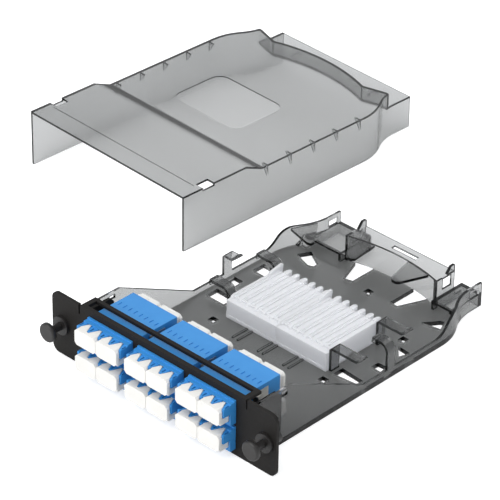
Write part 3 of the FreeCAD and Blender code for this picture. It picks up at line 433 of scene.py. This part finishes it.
def add_tongues(piece, node):
    """A step in the rim and five slotted tongues; the outer two have a straight side."""
    low, high = box_mm(node)
    middle, front, foot = (low[0] + high[0]) / 2, low[1], low[2]
    step = block((low[0] - BEYOND, front - BEYOND, high[2] - STEP_DROP),
                 (high[0] + BEYOND, front + STEP_LENGTH, high[2] + BEYOND))
    combine(piece, step, "DIFFERENCE")
    for place in range(FIRST_TONGUE, LAST_TONGUE + 1):
        x = middle + place * PORT_PITCH
        left, draw_left = TONGUE_HALF, TONGUE_DRAW
        right, draw_right = TONGUE_HALF, TONGUE_DRAW
        if place == FIRST_TONGUE:
            left, draw_left = STRAIGHT_HALF, 0
        if place == LAST_TONGUE:
            right, draw_right = STRAIGHT_HALF, 0
        tongue = wedge((x - left, front - TONGUE_LENGTH, foot + TONGUE_FOOT),
                       (x + right, front + TONGUE_ROOT, foot + TONGUE_TOP), draw_left, draw_right)
        slot = block((x - SLOT_HALF, front - SLOT_START, foot + SLOT_FOOT),
                     (x + SLOT_HALF, front - SLOT_END, foot + SLOT_TOP))
        combine(tongue, slot, "DIFFERENCE")
        combine(piece, tongue, "UNION")


def add_hood(piece, node):
    """A thin hood behind an adapter, open below and at its rear."""
    low, high = box_mm(node)
    middle, rear, foot = (low[0] + high[0]) / 2, high[1], low[2]
    hood = block((middle - HOOD_HALF, rear - HOOD_ROOT, foot + HOOD_FOOT),
                 (middle + HOOD_HALF, rear + HOOD_LENGTH, high[2] - HOOD_DROP))
    for half, start in ((NARROW_HALF, NARROW_START), (WIDE_HALF, WIDE_START)):
        inside = block((middle - half, rear + start, foot - BEYOND),
                       (middle + half, rear + HOOD_INSIDE_END, foot + HOOD_INSIDE_TOP))
        combine(hood, inside, "DIFFERENCE")
    combine(piece, hood, "UNION")


print(LAST_TONGUE - FIRST_TONGUE + 1, "tongues to an adapter")

# %% [markdown]
# ## Details on the rear caps and the holders
# The rear caps are of a plainer kind whose fins stand on a solid shoulder. The splice
# holders are closed at the front, and the fibres enter through the wide starts of their
# slits.

# %% Helpers: shoulder of a rear cap and front of a holder
# The shoulder starts and ends in front of the cap's rear face, and the front behind the
# holder's front face. Feet and tops are heights above the node's foot.
SHOULDER_SIDE, SHOULDER_START, SHOULDER_END = 0.4, 5.6, 1.2
SHOULDER_FOOT, SHOULDER_DROP = 0.6, 0.2
FRONT_SIDE, FRONT_START, FRONT_END = 0.05, 0.25, 3.8
FRONT_FOOT, FRONT_TOP = 0.9, 8.9


def add_shoulder(piece, node):
    """A solid shoulder between a rear cap's fins and its plate."""
    low, high = box_mm(node)
    shoulder = block((low[0] + SHOULDER_SIDE, high[1] - SHOULDER_START, low[2] + SHOULDER_FOOT),
                     (high[0] - SHOULDER_SIDE, high[1] - SHOULDER_END, high[2] - SHOULDER_DROP))
    combine(piece, shoulder, "UNION")


def add_front(piece, node):
    """A solid front across a splice holder's channels, as high as their lips."""
    low, high = box_mm(node)
    front = block((low[0] + FRONT_SIDE, low[1] + FRONT_START, low[2] + FRONT_FOOT),
                  (high[0] - FRONT_SIDE, low[1] + FRONT_END, low[2] + FRONT_TOP))
    combine(piece, front, "UNION")


print("shoulders", round(SHOULDER_START - SHOULDER_END, 1), "mm long")

# %% [markdown]
# ## Every piece but the tray
# Each node is copied, given its details and finished with the round of its material.

# %% Add the details and round the edges
TRAY_NODES = sorted(node for node in frame["nodes"] if SLOTS[node] == "smoke_tray")

pieces = {}
for node in sorted(frame["nodes"]):
    if node in TRAY_NODES:
        continue
    copy = clean_copy(node)
    if node.startswith("adapter_"):
        add_tongues(copy, node)
        add_hood(copy, node)
    if node.startswith("rear_cap_"):
        add_shoulder(copy, node)
    if node.endswith("_splice_holder"):
        add_front(copy, node)
    pieces[node] = finish_piece(copy, "look_" + node, [node], ROUNDS_MM[SLOTS[node]])
print(len(pieces), "pieces,", sum(len(piece.data.polygons) for piece in pieces.values()), "faces")

# %% [markdown]
# ## The tray as one moulding
# The tray's pieces are one moulding on the real object. Clear plastic would show every
# wall between them, so they are joined into one mesh before its edges are rounded.

# %% Join the tray's pieces
moulding = clean_copy(TRAY_NODES[0])
for node in TRAY_NODES[1:]:
    combine(moulding, clean_copy(node), "UNION")
print(len(TRAY_NODES), "nodes joined into", len(moulding.data.polygons), "faces")

# %% [markdown]
# The floor is open below the rear shelf, as the mould needs it where a shelf hangs over
# a floor, and the box round that opening is about one millimetre thick. The cutter is a
# block whose front follows the back of the bowed guide wall: a wide upright cylinder is
# taken out of the block first.

# %% Open the rear box from below
BELOW_FLOOR, FLOOR_TOP, SHELF_UNDERSIDE = -16.0, -12.8, -0.9
BOX_LEFT, BOX_RIGHT, BOX_FRONT, BOX_REAR = -21.5, 29.5, 130.0, 153.5
BOW_RADIUS, BOW_DEPTH, BOW_SIDES = 89.78, 40.0, 512
BOW_CENTRE = (4.0, 50.37, -10.0)

opening = block((BOX_LEFT, BOX_FRONT, BELOW_FLOOR), (BOX_RIGHT, BOX_REAR, SHELF_UNDERSIDE))
bpy.ops.mesh.primitive_cylinder_add(vertices=BOW_SIDES, radius=BOW_RADIUS * MM,
                                    depth=BOW_DEPTH * MM,
                                    location=[number * MM for number in BOW_CENTRE])
bow = bpy.context.view_layer.objects.active
bpy.ops.object.transform_apply(location=True, rotation=True, scale=True)
combine(opening, bow, "DIFFERENCE")
combine(moulding, opening, "DIFFERENCE")
print("rear box open,", len(moulding.data.polygons), "faces")

# %% [markdown]
# In front of the box, the two openings in the floor below the tabs run on to the guide
# wall and widen on their way. The windows in the box's end plates reach up to the shelf.

# %% Widen the openings at the tabs and in the end plates
TAB_OPENING_TOP = -12.75
TAB_OPENINGS = (
    {"low": (-19.0, 124.9), "high": (-8.4, 140.0), "draw_left": 5.6, "draw_right": 0.0},
    {"low": (14.4, 124.6), "high": (25.4, 140.0), "draw_left": 0.0, "draw_right": 6.5},
)
WINDOW_STARTS, WINDOW_WIDTH = (-23.0, 28.0), 3.0
WINDOW_FRONT, WINDOW_REAR, WINDOW_FOOT, WINDOW_TOP = 139.6, 145.4, -6.3, -0.95

for tab in TAB_OPENINGS:
    cutter = wedge((*tab["low"], BELOW_FLOOR), (*tab["high"], TAB_OPENING_TOP),
                   tab["draw_left"], tab["draw_right"])
    combine(moulding, cutter, "DIFFERENCE")
for start in WINDOW_STARTS:
    cutter = block((start, WINDOW_FRONT, WINDOW_FOOT),
                   (start + WINDOW_WIDTH, WINDOW_REAR, WINDOW_TOP))
    combine(moulding, cutter, "DIFFERENCE")
print(len(TAB_OPENINGS), "openings and", len(WINDOW_STARTS), "windows cut")

# %% [markdown]
# Each entry ledge is hollow from below and about one millimetre thick. The ramp at its
# front is taken away, and the floor goes on below its front edge.

# %% Thin the entry ledges
LEDGES = (
    {"left": -40.6, "right": -23.9, "ramp_left": -44.0, "ramp_right": -22.4},
    {"left": 31.9, "right": 40.6, "ramp_left": 30.4, "ramp_right": 44.0},
)
HOLLOW_FRONT, HOLLOW_REAR, HOLLOW_TOP = 132.0, 150.8, -9.6
RAMP_FRONT, RAMP_REAR, RAMP_TOP = 127.0, 132.4, -8.0
PATCH_FRONT, PATCH_REAR, PATCH_FOOT, PATCH_SIDE = 130.8, 138.0, -15.0, 1.0

for ledge in LEDGES:
    hollow = block((ledge["left"], HOLLOW_FRONT, BELOW_FLOOR),
                   (ledge["right"], HOLLOW_REAR, HOLLOW_TOP))
    combine(moulding, hollow, "DIFFERENCE")
    ramp = block((ledge["ramp_left"], RAMP_FRONT, FLOOR_TOP), (ledge["ramp_right"], RAMP_REAR, RAMP_TOP))
    combine(moulding, ramp, "DIFFERENCE")
    patch = block((ledge["left"] - PATCH_SIDE, PATCH_FRONT, PATCH_FOOT),
                  (ledge["right"] + PATCH_SIDE, PATCH_REAR, FLOOR_TOP))
    combine(moulding, patch, "UNION")
print(len(LEDGES), "ledges thinned")

# %% [markdown]
# The five square locating holes are wide enough to see the paper through, and the
# openings at the three left fingers reach further forward. Then the tray is finished like
# the other pieces.

# %% Cut the locating holes and the finger openings, and finish the tray
HOLES = ((-44.4, 111.0), (2.2, 123.4), (-30.4, 60.0), (33.6, 60.4), (37.6, 106.4))
HOLE_HALF, HOLE_TOP = 1.7, -12.2
FINGER_OPENINGS = (
    {"low": (-46.0, 71.6), "high": (-35.4, 75.0)},
    {"low": (-45.4, 100.2), "high": (-35.0, 103.8)},
    {"low": (-47.6, 84.6), "high": (-42.0, 87.5)},
)

for x, y in HOLES:
    hole = block((x - HOLE_HALF, y - HOLE_HALF, BELOW_FLOOR), (x + HOLE_HALF, y + HOLE_HALF, HOLE_TOP))
    combine(moulding, hole, "DIFFERENCE")
for finger in FINGER_OPENINGS:
    combine(moulding, block((*finger["low"], BELOW_FLOOR), (*finger["high"], FLOOR_TOP)), "DIFFERENCE")
pieces["tray"] = finish_piece(moulding, "look_tray", TRAY_NODES, ROUNDS_MM["smoke_tray"])
print("tray", len(pieces["tray"].data.polygons), "faces")

# %% [markdown]
# ## Floor and light
# The cassette lies on plain white paper. The camera sees the paper as white by the Light
# Path trick, and gloss and clear plastic see it too, while the light it throws on the
# cassette stays at a level at which colours keep their written value. The air is brighter
# to the camera than to the cassette for the same reason.

# %% Floor and air
# The size and the height are in metres.
PAPER_SIZE, PAPER_HEIGHT = 12.0, -0.0152


def make_paper():
    """Matt white paper that shines to the camera and in gloss and clear plastic."""
    material, _ = start_material("white_paper")
    matt = add_node(material, "ShaderNodeBsdfPrincipled",
                    {"Base Color": linear("#f4f4f4"), "Roughness": 0.9})
    path = add_node(material, "ShaderNodeLightPath")
    level = spread(material, path.outputs["Is Camera Ray"], low=0.12, high=0.55)
    shine = add_node(material, "ShaderNodeEmission", {"Color": (1, 1, 1, 1)}, {"Strength": level})
    seen = add_node(material, "ShaderNodeMath", {"operation": "MAXIMUM"},
                    {0: path.outputs["Is Camera Ray"], 1: path.outputs["Is Glossy Ray"]})
    both = add_node(material, "ShaderNodeMath", {"operation": "MAXIMUM"},
                    {0: seen.outputs[0], 1: path.outputs["Is Transmission Ray"]})
    summed = add_node(material, "ShaderNodeAddShader", {},
                      {0: matt.outputs[0], 1: shine.outputs[0]})
    mixed = add_node(material, "ShaderNodeMixShader", {},
                     {"Fac": both.outputs[0], 1: matt.outputs[0], 2: summed.outputs[0]})
    add_node(material, "ShaderNodeOutputMaterial", {}, {"Surface": mixed.outputs[0]})
    return material


bpy.ops.object.select_all(action="DESELECT")
bpy.ops.mesh.primitive_plane_add(size=PAPER_SIZE, location=(0, 0, PAPER_HEIGHT))
floor = bpy.context.view_layer.objects.active
floor.name = "paper_floor"
floor.data.materials.append(make_paper())

world = bpy.data.worlds.new("studio_air")
bpy.context.scene.world = world
world.use_nodes = True
world.node_tree.nodes.clear()
dim = add_node(world, "ShaderNodeBackground", {"Color": (0.95, 0.97, 1.0, 1.0), "Strength": 0.55})
white = add_node(world, "ShaderNodeBackground", {"Strength": 1.0})
camera_ray = add_node(world, "ShaderNodeLightPath").outputs["Is Camera Ray"]
choose = add_node(world, "ShaderNodeMixShader", {},
                  {"Fac": camera_ray, 1: dim.outputs[0], 2: white.outputs[0]})
add_node(world, "ShaderNodeOutputWorld", {}, {"Surface": choose.outputs[0]})
print("paper and air ready")

# %% [markdown]
# Five big square lamps give soft light. The key comes from the front and above, the
# fill from the right, and a weak one from behind on the left adds a little sheen to
# faces that look up.

# %% Soft lamps
# Places and sizes are in metres.
LAMPS = (
    {"name": "key_lamp", "place": (-0.3, -0.8, 1.8), "size": 1.4, "watts": 17.0},
    {"name": "front_lamp", "place": (-0.5, -1.5, 0.5), "size": 1.0, "watts": 10.0},
    {"name": "fill_lamp", "place": (1.5, -0.3, 0.9), "size": 1.2, "watts": 4.0},
    {"name": "back_lamp", "place": (0.2, 1.6, 1.4), "size": 1.2, "watts": 7.0},
    {"name": "sheen_lamp", "place": (-1.05, 1.20, 0.50), "size": 0.8, "watts": 1.0},
)
AIM = Vector((-0.05, 0.09, 0.0))


def soft_lamp(name, place, size, watts):
    """A square area lamp that points from its place at the middle of the picture."""
    data = bpy.data.lights.new(name, "AREA")
    data.shape = "SQUARE"
    data.size = size
    data.energy = watts
    lamp = bpy.data.objects.new(name, data)
    bpy.context.collection.objects.link(lamp)
    lamp.location = place
    lamp.rotation_euler = (AIM - Vector(place)).to_track_quat("-Z", "Y").to_euler()


for lamp in LAMPS:
    soft_lamp(**lamp)
bpy.context.scene.view_settings.view_transform = "Standard"
print(len(LAMPS), "lamps")
